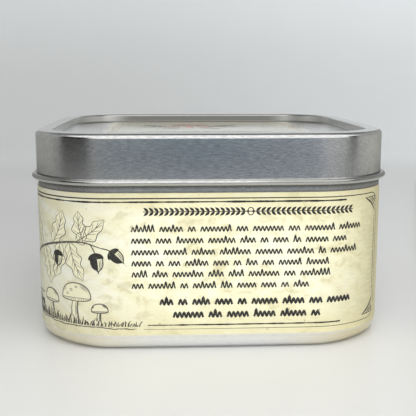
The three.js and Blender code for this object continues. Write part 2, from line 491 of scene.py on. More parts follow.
def raysOfLight(f, u, v, scratch):
    # pale rays fan out from a point above the drawing
    sideways, down = u - paper["rayCentre"][0], paper["rayCentre"][1] - v
    angle = f.node("ShaderNodeMath", {"operation": "ARCTAN2"}, {0: sideways, 1: down})
    fan = f.noise(f.node("ShaderNodeCombineXYZ", {}, {0: angle * paper["rays"], 1: 0.7, 2: 0.3}), 1, 1, 0.5)
    beam = f.ease(fan + (scratch - 0.5) * 0.25, 0.53, 0.6)
    return beam * f.ease(abs(sideways), *paper["rayReach"], 1, 0) * paper["rayStrength"]


def paperFinish(name, low, high, glossy):
    # low and high are the sheet's corners, in millimetres along and up it
    (lowU, lowV), (highU, highV) = ((along * perMap, up * perMap) for along, up in (low, high))
    f = Finish(bpy.data.materials.new(name))
    spot = f.node("ShaderNodeTexCoord", output="UV")
    u, v, _ = f.parts(spot)
    cloud = f.noise(spot, 6, 3, 0.55, 0.4)
    blotch = f.noise(f.scaled(spot, (1, 1.5, 1)), 24, 4, 0.65, 0.5)
    scratch = f.noise(f.scaled(spot, (1, 7, 1)), 22, 4, 0.7)
    fibre = f.noise(spot, 300, 3, 0.7)
    edge = (highU - u).lesser(u - lowU) * 0.6
    edge = edge.lesser(highV - v).lesser((v - lowV) * 0.8)
    worn = f.ease(cloud * 0.5 + blotch * 0.5 - edge * 0.5, 0.3, 0.54)
    colour = f.blend(worn, paper["pale"], paper["cream"])
    if not glossy:
        colour = f.blend(raysOfLight(f, u, v, scratch), colour, paper["ray"])
        browned = f.ease(highU - u + (cloud - 0.5) * 0.3, 0, paper["browned"], 1, 0)
        colour = f.blend(browned * f.ease(scratch, 0.33, 0.55, 0.55, 1), colour, paper["stain"])
    aged = f.ease(edge + (blotch - 0.5) * 0.16, 0, paper["edgeWidth"], 1, 0)
    colour = f.blend(aged * 0.4, colour, paper["tan"])
    stain = f.ease(blotch * 0.6 + cloud * 0.4, 0.51, 0.63)
    colour = f.blend(stain * 0.6, colour, paper["stain"])
    colour = f.blend(f.ease(scratch, 0.5, 0.72) * 0.3, colour, paper["grey"])
    speck = f.ease(f.noise(spot, 60, 2, 0.5), 0.7, 0.76)
    colour = f.blend(speck * 0.5, colour, paper["brown"])
    colour = f.blend((fibre - 0.35) * 0.45, colour, paper["fibre"])
    if glossy:
        # a painted bluish-grey reflection on the lid's label
        colour = f.blend(paper["lidReflected"], colour, paper["lidReflection"])
    else:
        colour = f.blend(f.ease(u, *paper["shadeRuns"]) * paper["shaded"], colour, paper["shade"])
    return f.surface({
        "Base Color": colour,
        "Roughness": 0.5 + (fibre - 0.5) * 0.25,
        "Specular IOR Level": 0.35,
        "Coat Weight": 1.0 if glossy else 0.0, "Coat Roughness": 0.08,
        "Normal": f.bump(fibre + blotch * 1.5, 0.2, 0.00003),
    })


sidePaper = paperFinish("side_paper", (labelRuns["low"], paperLow.z), (labelRuns["high"], paperHigh.z), False)
lidPaper = paperFinish("lid_paper", cardLow.xy, cardHigh.xy, True)


def roundedEnd(run):
    # how far the label's top and bottom edges come in, near its rounded corners
    fromEnd = min(run - labelRuns["low"], labelRuns["high"] - run)
    r = paper["cornerRadius"]
    return r - math.sqrt(max(0, r * r - (r - fromEnd) ** 2)) if fromEnd < r else 0


def makeSideLabel():
    ends = steps(0, paper["cornerRadius"], 0.16)
    low, high = labelRuns["low"], labelRuns["high"]
    runs = [low + e for e in ends[:-1]] + wrapRuns(low + ends[-1], high - ends[-1])
    runs += [high - e for e in ends[-2::-1]]
    points, uvs, faces = [], [], []
    rowShares = steps(0, 1, 1 / 8)
    for run in runs:
        column = planColumn(run)
        inset = roundedEnd(run)
        for half in (paperHalf, paperHalf - paper["thickness"]):
            for share in rowShares:
                z = paperLow.z + inset + (paperHigh.z - paperLow.z - 2 * inset) * share
                points.append((*planPoint(column, half), z))
                uvs.append((run * perMap, z * perMap))
    rows = len(rowShares)
    loop = list(range(rows)) + list(range(2 * rows - 1, rows - 1, -1))  # up the face and down the back
    for i in range(len(runs) - 1):
        a, b = 2 * rows * i, 2 * rows * (i + 1)
        for p, q in zip(loop, loop[1:] + loop[:1]):
            faces.append((a + p, b + p, b + q, a + q))
    for start in (0, 2 * rows * (len(runs) - 1)):
        for i in range(rows - 1):
            faces.append((start + i, start + i + 1, start + rows + i + 1, start + rows + i))
    label = addPiece("side_paper", points, faces, sidePaper, uvs)
    label.data.set_sharp_from_angle(angle=math.radians(40))
    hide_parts("side_label")


makeSideLabel()
print("side label made")

lidCard = dict(cornerRadius=2.0, cornerSteps=8)


def makeLidLabel():
    r = lidCard["cornerRadius"]
    outline = []
    for signX, signY, start in ((1, 1, 0), (-1, 1, 90), (-1, -1, 180), (1, -1, 270)):
        centre = (signX * (cardHigh.x - r), signY * (cardHigh.y - r))
        for i in range(lidCard["cornerSteps"] + 1):
            angle = math.radians(start + 90 * i / lidCard["cornerSteps"])
            outline.append((centre[0] + r * math.cos(angle), centre[1] + r * math.sin(angle)))
    count = len(outline)
    points = [(x, y, z) for z in (cardHigh.z, cardLow.z) for x, y in outline]
    faces = [tuple(range(count)), tuple(range(2 * count - 1, count - 1, -1))]
    faces += [(i, (i + 1) % count, count + (i + 1) % count, count + i) for i in range(count)]
    uvs = [(x * perMap, y * perMap) for x, y, _ in points]
    label = addPiece("lid_paper", points, faces, lidPaper, uvs, smooth=False)
    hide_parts("lid_label")


makeLidLabel()
print("lid label made")


# ink: flat shapes, in millimetres along and up a sheet, that are laid on the paper
ink = dict(
    height=0.012,  # over the paper
    step=0.003,  # from one layer of print to the next
    depth=0.03,  # into the paper
    black=(0.022, 0.021, 0.02), pencil=(0.075, 0.072, 0.06), wash=(0.72, 0.7, 0.5),
    ochre=(0.58, 0.36, 0.1), green=(0.2, 0.26, 0.1), orange=(0.72, 0.17, 0.05),
    worn=(0.55, 0.52, 0.4),  # where the paper shows through
    onSide=dict(black=0.25, pencil=0.4, wash=0.3),  # how much each is worn
    onLid=dict(pencil=0.4, ochre=0.3, green=0.4, orange=0.3),
)


def inkFinish(name, wearAndPaintedLight, glossy):
    f = Finish(bpy.data.materials.new(("lid_ink_" if glossy else "ink_") + name))
    sheet = f.node("ShaderNodeTexCoord", output="UV")
    grain = f.noise(sheet, 240, 3, 0.6)
    patchy = f.noise(sheet, 30, 3, 0.6)
    worn = f.ease(grain * 0.6 + patchy * 0.4, 0.52, 0.66)
    return f.surface({
        "Base Color": f.blend(worn * wearAndPaintedLight, ink[name], ink["worn"]),
        "Roughness": 0.5,
        "Specular IOR Level": 0.35,
        "Coat Weight": 1.0 if glossy else 0.0, "Coat Roughness": 0.08,
    })


inks = {name: inkFinish(name, wearAndPaintedLight, False) for name, wearAndPaintedLight in ink["onSide"].items()}
lidInks = {name: inkFinish(name, wearAndPaintedLight, True) for name, wearAndPaintedLight in ink["onLid"].items()}


def curve(knots, step=0.5):
    # a smooth line through the knots
    knots = [Vector(knot) for knot in knots]
    ends = [2 * knots[0] - knots[1], *knots, 2 * knots[-1] - knots[-2]]
    line = []
    for a, b, c, d in zip(ends, ends[1:], ends[2:], ends[3:]):
        count = max(1, math.ceil((c - b).length / step))
        for i in range(count):
            t = i / count
            line.append(0.5 * (2 * b + (c - a) * t + (2 * a - 5 * b + 4 * c - d) * t * t
                               + (3 * b - a - 3 * c + d) * t ** 3))
    return line + [knots[-1]]


def across(line):
    # the unit direction to the left of the line at each of its points
    sides = []
    for i in range(len(line)):
        way = (line[min(i + 1, len(line) - 1)] - line[max(i - 1, 0)]).normalized()
        sides.append(Vector((-way.y, way.x)))
    return sides


def wobble(place, scale=1):
    return noise.noise(Vector((place.x * scale, place.y * scale, 3.1)))


class Print:
    # one colour of print on one sheet
    def __init__(self, name, finish, lay):
        self.name, self.look, self.lay = name, finish, lay
        self.points, self.faces, self.uvs = [], [], []

    def slab(self, rows, level=0):
        # a thin closed sheet over a grid of spots
        high, wide = len(rows), len(rows[0])
        top = len(self.points)
        bottom = top + high * wide
        for height in (ink["height"] + level * ink["step"], -ink["depth"]):
            for row in rows:
                for spot in row:
                    self.points.append(self.lay(spot, height))
                    self.uvs.append((spot.x * perMap, spot.y * perMap))
        for i in range(high - 1):
            for j in range(wide - 1):
                a, b = i * wide + j, (i + 1) * wide + j
                self.faces.append((top + a, top + a + 1, top + b + 1, top + b))
                self.faces.append((bottom + b, bottom + b + 1, bottom + a + 1, bottom + a))
        rim = list(range(wide)) + [i * wide + wide - 1 for i in range(1, high)]
        rim += list(range(high * wide - 2, (high - 1) * wide - 1, -1))
        rim += [i * wide for i in range(high - 2, 0, -1)]
        for a, b in zip(rim, rim[1:] + rim[:1]):
            self.faces.append((top + b, top + a, bottom + a, bottom + b))

    def stroke(self, line, width, level=0, ends=(1, 1)):
        # ends are the shares of the width left at the line's start and end
        rows = []
        for i, (spot, side) in enumerate(zip(line, across(line))):
            t = i / (len(line) - 1)
            share = min(1, ends[0] + (1 - ends[0]) * 3 * t, ends[1] + (1 - ends[1]) * 3 * (1 - t))
            half = side * (width * share / 2)
            rows.append([spot + half, spot - half])
        self.slab(rows, level)

    def fill(self, edges, level=0, cell=1.2):
        # the area between two lines that have the same number of points
        widest = max((a - b).length for a, b in zip(*edges))
        count = max(1, math.ceil(widest / cell))
        self.slab([[a.lerp(b, j / count) for j in range(count + 1)] for a, b in zip(*edges)], level)

    def finish(self):
        addPiece(self.name, self.points, self.faces, self.look, self.uvs, smooth=False)


def onSide(spot, height):
    return (*planPoint(planColumn(spot.x), paperHalf + height), spot.y)


def onLid(spot, height):
    return (spot.x, spot.y, cardHigh.z + height)


# motifs, each drawn with a wash and a line
leafLobes = dict(count=3, depth=0.34, start=0.1)


def leafShape(base, tip, width, bend):
    base, tip = Vector(base), Vector(tip)
    way = tip - base
    side = Vector((-way.y, way.x)).normalized()
    lobes, depth, start = leafLobes["count"], leafLobes["depth"], leafLobes["start"]
    spine = curve([base, base.lerp(tip, 0.5) + side * bend, tip], way.length / (14 + 8 * lobes))
    left, right = [], []
    for i, (spot, out) in enumerate(zip(spine, across(spine))):
        t = i / (len(spine) - 1)
        half = width / 2 * max(0.012, math.sin(math.pi * t ** 0.85)) ** 0.75
        half *= 1 - depth * (0.5 + 0.5 * math.cos(2 * math.pi * (lobes * t + start)))
        left.append(spot + out * half * (1 + 0.2 * wobble(spot + out * 3, 0.4)))
        right.append(spot - out * half * (1 + 0.2 * wobble(spot - out * 3, 0.4)))
    return spine, left, right


def drawLeaf(wash, line, base, tip, width, bend, veins, weight, level=1):
    spine, left, right = leafShape(base, tip, width, bend)
    wash.fill((left, right), level)
    line.stroke(left, weight, level + 1, (0.5, 0.4))
    line.stroke(right, weight * 1.25, level + 1, (0.5, 0.4))
    line.stroke(spine, weight, level + 1, (1, 0.3))
    last = len(spine) - 1
    for k in range(veins):
        start = round(last * (0.1 + 0.72 * k / veins))
        end = min(last - 1, start + round(last * 0.2))
        for edge in (left, right):
            reachPoint = spine[end].lerp(edge[end], 0.82)
            middle = spine[start].lerp(reachPoint, 0.5) + (spine[end] - spine[start]) * 0.06
            line.stroke(curve([spine[start], middle, reachPoint], 0.7), weight * 0.6, level + 1, (1, 0.3))


def drawAcorn(wash, line, top, way, size, level):
    # way points from the cup to the nut's tip
    top, way = Vector(top), Vector(way).normalized()
    side = Vector((-way.y, way.x))
    nut, cup = [[], []], [[], []]
    for i in range(13):
        t = i / 12
        half = size * 0.37 * (1 - (2 * t - 0.75) ** 4 * 0.4) * math.sqrt(max(0.0006, 1 - t ** 3))
        for edge, sign in zip(nut, (1, -1)):
            edge.append(top + way * size * (0.25 + 0.85 * t) + side * sign * half)
    for i in range(9):
        t = i / 8
        half = size * 0.45 * math.sqrt(max(0.01, 1 - (1 - t) ** 2))
        for edge, sign in zip(cup, (1, -1)):
            edge.append(top + way * size * 0.36 * t + side * sign * half)
    shade = [a.lerp(b, 0.42) for a, b in zip(*nut)]
    wash.fill(nut, level, 0.9)
    line.fill((shade, nut[1]), level + 1, 0.9)
    line.stroke(nut[0], size * 0.07, level + 1)
    for share in (0.16, 0.28):
        line.stroke([a.lerp(b, share) for a, b in zip(*nut)][2:-2], size * 0.035, level + 1, (0.2, 0.2))
    line.fill(cup, level + 2, 0.9)
    tip = top + way * size * 1.08
    line.stroke([tip, tip + way * size * 0.14], size * 0.08, level + 1, (1, 0.2))


def drawToadstool(wash, line, foot, height, cap, lean, level, spots=()):
    foot = Vector(foot)
    neck = foot + Vector((lean, height))
    spine = curve([foot, foot.lerp(neck, 0.5) + Vector((-0.12 * lean - 0.02 * height, 0)), neck], 0.6)
    stem = [[], []]
    for i, (spot, out) in enumerate(zip(spine, across(spine))):
        t = i / (len(spine) - 1)
        half = cap * (0.085 + 0.055 * (1 - t) ** 2 + 0.02 * t ** 3)
        stem[0].append(spot + out * half)
        stem[1].append(spot - out * half)
    wash.fill(stem, level)
    line.stroke(stem[0], 0.2, level + 1)
    line.stroke(stem[1], 0.3, level + 1)
    count = len(spine)
    for share, low, high in (  # streaks: how far across the stem, and their shares of its height
            (0.62, 0.0, 1.0), (0.78, 0.0, 0.9), (0.9, 0.1, 1.0), (0.3, 0.0, 0.35), (0.15, 0.0, 0.5)):
        streak = [a.lerp(b, share) for a, b in zip(*stem)]
        start = int(low * count)
        line.stroke(streak[start:max(start + 3, int(high * count))], 0.13, level + 1, (0.3, 0.3))
    # the cap: a dome over a shallow rim
    dome, rim = [], []
    for i in range(25):
        angle = math.pi * (1 - i / 24)
        x, y = math.cos(angle), math.sin(angle)
        bell = math.copysign(abs(x) ** 0.92, x)
        dome.append(neck + Vector((cap / 2 * bell, cap * 0.46 * y ** 0.8 - cap * 0.02)))
        rim.append(neck + Vector((cap / 2 * bell, -cap * 0.1 * y - cap * 0.02)))
    wash.fill((dome, rim), level + 2)
    line.stroke(dome, 0.26, level + 3)
    line.stroke(rim, 0.22, level + 3)
    under = [p.lerp(q, 0.82) for p, q in zip(dome, rim)]
    line.stroke(under[2:-2], 0.15, level + 3, (0.3, 0.3))
    for i in range(1, 24):
        top = dome[i].lerp(rim[i], 0.86)
        line.stroke([top, top.lerp(rim[i], 0.5), rim[i]], 0.13, level + 3)
    for ring, low, high in ((0.92, 13, 23), (0.83, 14, 22), (0.74, 15, 21), (0.92, 2, 7), (0.84, 3, 6)):
        centre = neck + Vector((0, cap * 0.06))
        line.stroke([centre.lerp(spot, ring) for spot in dome[low:high]], 0.14, level + 3, (0.2, 0.2))
    for x, y, size in spots:
        centre = neck + Vector((x * cap, y * cap))
        ring = [centre + Vector((math.cos(a) * size * 1.25, math.sin(a) * size)) * cap * 0.5
                for a in (2 * math.pi * i / 12 for i in range(13))]
        line.stroke(ring, 0.14, level + 3)


def drawGrass(line, foot, height, lean, level):
    foot = Vector(foot)
    blade = curve([foot, foot + Vector((lean * 0.25, height * 0.55)), foot + Vector((lean, height))], 0.6)
    line.stroke(blade, 0.24, level, (1, 0.15))


# what is printed on the long label
frameRules = dict(
    top=40.0, bottom=5.8, end=48.0,  # the outer rule
    inset=1.35, radius=3.6, width=0.34, boldWidth=0.5,
    boldEnd=34.5, footStart=-18, backStart=-122, boldFarStart=14,
    topGap=0.9, bottomGap=1.1,  # from the outer rule to the bold one
    bracket=(5.2, 3.9), bracketBend=0.16, bracketInner=2.6,  # how long a bracket is, along and up
)
textBlock = dict(
    start=-20.9, rows=(32.1, 29.1, 26.1, 23.2, 20.3, 17.3), ends=(40.8, 37.5, 40.0, 35.5, 34.0, 31.5),
    size=1.2, weight=0.37,
    boldRows=((13.0, -13.8, 37.6), (9.6, -10.4, 31.2)), boldSize=1.35, boldWeight=0.56,
    garland=(-17.8, 36.6, 36.6), garlandSize=2.3,
)
farEnd = labelRuns["low"] + labelRuns["high"] - frameRules["end"]  # the outer rule's other end


def roundedPath(spots, radius, step=0.5):
    # a line through the spots, with round corners
    line = [Vector(spots[0])]
    for before, spot, after in zip(spots, spots[1:], spots[2:]):
        spot = Vector(spot)
        enter = spot + (Vector(before) - spot).normalized() * radius
        leave = spot + (Vector(after) - spot).normalized() * radius
        centre = enter + leave - spot
        start = math.atan2(*(enter - centre).yx)
        end = math.atan2(*(leave - centre).yx)
        turn = (end - start + math.pi) % (2 * math.pi) - math.pi
        line += [centre + Vector((math.cos(start + turn * i / 8), math.sin(start + turn * i / 8))) * radius
                 for i in range(9)]
    line.append(Vector(spots[-1]))
    filled = [line[0]]
    for a, b in zip(line, line[1:]):
        count = max(1, math.ceil((b - a).length / step))
        filled += [a.lerp(b, i / count) for i in range(1, count + 1)]
    return filled


def brushed(page, line, width, level=0):
    # a rule whose weight changes a little along it, with a few short breaks
    rows = []
    for spot, side in zip(line, across(line)):
        weight = width * (0.82 + 0.55 * wobble(spot, 0.35) + 0.3 * wobble(spot, 1.3))
        if weight < 0.16:
            if len(rows) > 2:
                page.slab(rows, level)
            rows = []
        else:
            rows.append([spot + side * weight / 2, spot - side * weight / 2])
    if len(rows) > 2:
        page.slab(rows, level)


def drawBracket(page, corner, inward, inner):
    # a small bracket across a corner. inward and inner are the signs that lead away from it, along and up
    r = frameRules
    a = corner + Vector((inward * r["bracket"][0], 0))
    b = corner + Vector((0, inner * r["bracket"][1]))
    middle = a.lerp(b, 0.5)
    sag = (corner - middle) * r["bracketBend"]
    page.stroke(curve([a, middle + sag, b]), 0.55, 0, (0.4, 0.4))
    page.stroke(curve([a.lerp(corner, 0.3), middle + sag * r["bracketInner"], b.lerp(corner, 0.3)]),
                0.28, 0, (0.4, 0.4))
    page.stroke(roundedPath([a, corner], 1), 0.22, 0, (0.3, 1))
    upper = [a.lerp(corner, 0.25), a.lerp(corner, 0.62), corner]
    lower = [upper[0] + Vector((0, inner * 0.05)), middle.lerp(corner, 0.55), b.lerp(corner, 0.55)]
    page.fill((upper, lower), 0, 1.0)


def drawFrame(page):
    r = frameRules
    low, high, width, bold = r["bottom"], r["top"], r["width"], r["boldWidth"]
    outer = [(r["footStart"], low), (r["end"], low), (r["end"], high),
             (farEnd, high), (farEnd, low), (r["backStart"], low)]
    page.stroke(roundedPath(outer, r["radius"]), width, 0, (0.2, 0.2))
    farStart = farEnd + r["boldFarStart"]
    for start, end, up, weight in (
            (farStart, r["boldEnd"], high - r["topGap"], bold),
            (r["footStart"] + 1, r["boldEnd"] - 1, low + r["bottomGap"], bold * 0.8),
            (farStart, r["backStart"] - 1, low + r["bottomGap"], bold * 0.8)):
        brushed(page, roundedPath([(start, up), (end, up)], 1), weight)
    for end, inward in ((r["end"], -1), (farEnd, 1)):
        upright = end + inward * r["inset"]
        rule = roundedPath([(upright, low + 2.4), (upright, high - 2.2)], 1)
        page.stroke(rule, width * 0.85, 0, (0.3, 0.3))
        drawBracket(page, Vector((upright, high - 1.1)), inward, -1)
        drawBracket(page, Vector((upright, low + 1.3)), inward, 1)


def drawWords(page, low, high, up, size, weight, draw):
    # a row of small waves, broken up as words are
    start = low
    while True:
        waves = draw.randint(2, 8)
        length = waves * size * 0.82
        if start + length > high:
            return
        line = []
        for k in range(waves):
            rise = size * draw.choice((0, 0, 0, 0, 0, 0.5))
            for i in range(8):
                swing = -math.cos(2 * math.pi * i / 8)
                lift = rise * max(0, swing)
                line.append(Vector((start + length * (k + i / 8) / waves, up + swing * size / 2 + lift)))
        line.append(Vector((start + length, up - size / 2)))
        page.stroke(line, weight)
        start += length + size * 1.05


def drawGarland(page, low, high, up, size):
    # leaves in pairs along a stem, pointing away from a knot in the middle
    middle = Vector(((low + high) / 2, up))
    pitch = size * 0.56
    pairs = int((high - low) / 2 / pitch)
    page.stroke(roundedPath([(low, up), (high, up)], 1, 1.0), size * 0.09)
    for side in (-1, 1):
        for k in range(1, pairs):
            foot = middle + Vector((side * k * pitch, 0))
            for turn in (-1, 1):
                way = Vector((side * 0.78, turn * 0.62)).normalized()
                out = Vector((-way.y, way.x))
                edges = [[], []]
                for i in range(7):
                    t = i / 6
                    spot = foot + way * size * (0.08 + 0.66 * t)
                    half = size * 0.15 * max(0.1, math.sin(math.pi * t ** 0.8))
                    edges[0].append(spot + out * half)
                    edges[1].append(spot - out * half)
                page.fill(edges)
        bead = Vector((side * size * 0.3, size * 0.2))
        root, tip = middle + Vector((side * size * 0.12, 0)), middle + Vector((side * size * 0.5, 0))
        thin = Vector((0, 0.02))
        page.fill(([root, middle + bead, tip],
                   [root - thin, middle + Vector((bead.x, -bead.y)), tip - thin]), 1)
    angles = [math.pi * i / 10 for i in range(21)]
    ring = [middle + Vector((math.cos(a) * size * 0.34, math.sin(a) * size * 0.42)) for a in angles]
    page.stroke(ring, size * 0.1, 1)


def drawLozenges(page, low, high, up, size, pitch):
    count = int((high - low) / pitch)
    for k in range(count + 1):
        middle = Vector((low + (high - low) * k / count, up))
        if k % 2:
            ring = [middle + Vector((math.cos(a), math.sin(a))) * size * 0.26 for a in
                    (2 * math.pi * i / 14 for i in range(15))]
            page.fill((ring[:8], ring[14:6:-1]), 0, 0.9)
        else:
            for share in (1, 0.5):
                wide, tall = Vector((size * 0.46 * share, 0)), Vector((0, size * 0.5 * share))
                corners = [middle - wide, middle + tall, middle + wide, middle - tall, middle - wide]
                if share == 1:
                    page.stroke(roundedPath(corners, 0.05), size * 0.16)
                else:
                    page.fill((corners[:3], [corners[0], corners[3], corners[2]]), 0, 0.9)
    for rule in (up - size * 0.72, up + size * 0.72):
        page.stroke(roundedPath([(low - 1, rule), (high + 1, rule)], 1), 0.3)


def drawLeaves(wash, line, middle, leaves, veins, weight):
    for base, tip, width, bend in leaves:
        drawLeaf(wash, line, middle + Vector(base), middle + Vector(tip), width, bend, veins, weight)


def drawText(page, draw):
    t = textBlock
    drawGarland(page, *t["garland"], t["garlandSize"])
    for up, end in zip(t["rows"], t["ends"]):
        drawWords(page, t["start"], end, up, t["size"], t["weight"], draw)
    for up, low, high in t["boldRows"]:
        drawWords(page, low, high, up, t["boldSize"], t["boldWeight"], draw)


twigGroup = dict(  # to the left of the text
    twig=((-58.5, 20.5), (-51, 25), (-42.5, 27.6), (-34, 28.6), (-28.4, 27.2)),
    leaves=(  # foot, tip, width and bend
        ((-50, 25.6), (-53.8, 35.8), 5.4, 0.5), ((-43.5, 27.4), (-39.4, 36.4), 5.2, -0.6),
        ((-47.5, 26.3), (-45.0, 16.4), 5.6, 0.7), ((-37.5, 28.3), (-33.6, 18.6), 5.2, -0.6),
        ((-35.5, 28.6), (-27.6, 34.6), 4.6, -0.5), ((-33.2, 28.5), (-34.6, 36.6), 4.2, 0.5),
        ((-40.8, 28.0), (-43.0, 18.4), 4.8, 0.5)),
    acorns=(  # the stalk, and the cup's top, way and size
        (((-31.5, 28.4), (-30.5, 26.6), (-30.2, 25.8)), (-30.2, 26.0), (0.15, -1), 4.6),
        (((-28.4, 27.2), (-27.0, 26.9), (-26.2, 26.4)), (-26.4, 26.6), (0.8, -0.75), 4.2),
        (((-41.5, 27.8), (-41.4, 26.4), (-41.2, 25.6)), (-41.3, 25.9), (-0.12, -1), 4.0)),
    toadstools=(  # foot, height, cap, lean, level and spots
        ((-36.4, 8.4), 5.6, 8.6, 0.5, 6, ((-0.16, 0.22, 0.07), (0.02, 0.32, 0.06), (-0.3, 0.1, 0.05))),
        ((-44.6, 8.6), 3.6, 6.4, -0.4, 6),
        ((-29.6, 8.0), 2.7, 4.4, 0.3, 6)),
    grass=92, grassStart=-53, grassRun=34, grassUp=7.2, grassFall=0.02, grassHeight=(1, 2), shorter=0.018,
    furrows=16, furrowPitch=2.0, furrowUp=6.9, furrowFall=0.055,
)


def drawTwigGroup(wash, pencil, black, draw):
    # an oak twig over toadstools that stand in grass
    g = twigGroup
    pencil.stroke(curve(g["twig"]), 0.55, 4, (1, 0.35))
    drawLeaves(wash, pencil, Vector((0, 0)), g["leaves"], 5, 0.19)
    for stalk, top, way, size in g["acorns"]:
        black.stroke(curve(stalk), 0.28)
        drawAcorn(wash, black, top, way, size, 4)
    for toadstool in g["toadstools"]:
        drawToadstool(wash, pencil, *toadstool)
    for k in range(g["grass"]):
        run = g["grassRun"] * (k + draw.random()) / g["grass"]
        height = (g["grassHeight"][0] + g["grassHeight"][1] * draw.random()) * (1.15 - g["shorter"] * run)
        foot = (g["grassStart"] + run, g["grassUp"] - g["grassFall"] * run)
        drawGrass(black if k % 3 else pencil, foot, height, draw.uniform(-0.9, 0.9), 8)
    for k in range(g["furrows"]):
        along = g["grassStart"] + g["furrowPitch"] * k
        up = g["furrowUp"] - g["furrowFall"] * k + draw.uniform(-0.25, 0.25)
        furrow = curve([(along, up), (along + 1.6, up - 0.12), (along + 3.2, up + 0.05)])
        pencil.stroke(furrow, 0.22, 8, (0.2, 0.2))


sideGroup = dict(  # in the middle of the next side, from where the runs are counted
    middle=-sideRun,
    leaves=(
        ((9, 20), (18.5, 29), 6.6, -0.8), ((10, 18), (22.6, 20.6), 6.2, 0.7),
        ((-9, 20), (-18.5, 29.5), 6.6, 0.8), ((-10, 18), (-22.4, 21), 6.2, -0.7),
        ((19.4, 31.4), (25.2, 37), 4.6, 0.4), ((-19.4, 31.6), (-25.0, 37), 4.6, -0.4)),
    acorns=((10.4, 27.6, 0.5, 1, 4.8), (14.2, 16.4, 1, -0.4, 4.4)),  # along, up, way and size, to both sides
    toadstools=(
        ((6.5, 15), 5.2, 9.5, 0.9, 4, ((-0.12, 0.24, 0.06), (0.14, 0.28, 0.05))),
        ((-7.4, 15), 4.4, 8.4, -0.9, 4, ((0.1, 0.24, 0.06),)),
        ((-0.2, 14.4), 10.6, 14.5, 0.4, 8, ((-0.24, 0.16, 0.06), (-0.05, 0.3, 0.07), (0.18, 0.22, 0.06),
                                            (-0.12, 0.08, 0.045), (0.3, 0.08, 0.04)))),
    grass=70, grassRun=30, grassUp=14.2, grassHeight=(1, 2.2),
    band=(-33.5, -50.6, 10.3, 3.6, 2.9),  # from the middle, to a run, then up, size and pitch
)


def drawSideGroup(wash, pencil, black, draw):
    # a bigger group of toadstools, over a band of lozenges
    g = sideGroup
    middle = Vector((g["middle"], 0))
    drawLeaves(wash, pencil, middle, g["leaves"], 5, 0.22)
    for side in (-1, 1):
        for along, up, wayAlong, wayUp, size in g["acorns"]:
            drawAcorn(wash, black, middle + Vector((side * along, up)), (side * wayAlong, wayUp), size, 3)
    for foot, *toadstool in g["toadstools"]:
        drawToadstool(wash, pencil, middle + Vector(foot), *toadstool)
    for k in range(g["grass"]):
        along = middle.x + g["grassRun"] * ((k + draw.random()) / g["grass"] - 0.5)
        height = g["grassHeight"][0] + g["grassHeight"][1] * draw.random()
        drawGrass(black if k % 2 else pencil, (along, g["grassUp"]), height, draw.uniform(-0.8, 0.8), 12)
    start, *band = g["band"]
    drawLozenges(black, middle.x + start, *band)


table = dict(
    middle=-2 * sideRun, half=30, rules=(34.6, 30.2, 25.8, 21.4, 17.0, 12.6), bold=(0, 1, 5),
    column=27, drop=2.2, size=1.15, weights=(0.5, 0.3),  # words hang this far under a rule
)


def drawTable(page, draw):
    # a ruled table on the far side, with words in two columns
    t = table
    left, right = t["middle"] - t["half"], t["middle"] + t["half"]
    for k, up in enumerate(t["rules"]):
        page.stroke(roundedPath([(left, up), (right, up)], 1, 2.0), 0.5 if k in t["bold"] else 0.2)
        if up > t["rules"][-1]:
            row = (up - t["drop"], t["size"], t["weights"][min(k, 1)], draw)
            drawWords(page, left + 1.5, left + (14 if k else 22), *row)
            drawWords(page, left + t["column"] + 2, right - (4 if k % 2 else 9), *row)
    for along in (left, left + t["column"], right):
        page.stroke(roundedPath([(along, t["rules"][-1]), (along, t["rules"][0])], 1, 2.0), 0.25)


sprig = dict(middle=farEnd + 12, leaves=(
    ((-0.6, 20), (-5.0, 28), 4.4, 0.4), ((0.6, 20), (5.0, 28), 4.4, -0.4)), acornUp=21, acornSize=4.4)


def printSideLabel():
    draw = random.Random(5)
    black = Print("label_print", inks["black"], onSide)
    pencil = Print("label_drawing", inks["pencil"], onSide)
    wash = Print("label_wash", inks["wash"], onSide)
    drawFrame(black)
    drawText(black, draw)
    drawTwigGroup(wash, pencil, black, draw)
    drawSideGroup(wash, pencil, black, draw)
    drawTable(black, draw)
    drawLeaves(wash, pencil, Vector((sprig["middle"], 0)), sprig["leaves"], 4, 0.2)
    drawAcorn(wash, black, (sprig["middle"], sprig["acornUp"]), (0, -1), sprig["acornSize"], 3)
    for page in (wash, pencil, black):
        page.finish()


printSideLabel()
print("side label printed")


# what is printed on the lid's label
lidPrint = dict(
    border=2.6, borderRadius=4, rules=((0, 0.7), (1.3, 0.3)),  # each rule's inset and width
    group=(-4.5, 14.0),
    leaves=(
        ((6, 0), (15, 7.5), 5.6, -0.7), ((6, -2), (17, -1), 5.4, 0.7), ((-6, 0), (-15, 7.5), 5.6, 0.7),
        ((-6, -2), (-17, -1), 5.4, -0.7), ((3, -5), (9, -12), 5.0, 0.6), ((-3, -5), (-9, -12), 5.0, -0.6)),
    toadstools=(
        ((5.0, -5.5), 6.0, 7.6, 0.9, 4), ((-5.4, -5.2), 5.0, 6.8, -0.8, 4), ((0, -6.5), 10.5, 11.5, 0.2, 8)),
    words=((-14.5, 21), (-18.5, 16), (-22.5, 19), (-26.5, 12)), wordSize=1.5, wordWeight=0.4,
    garland=(-20, 20, -8.5, 2.4),
)


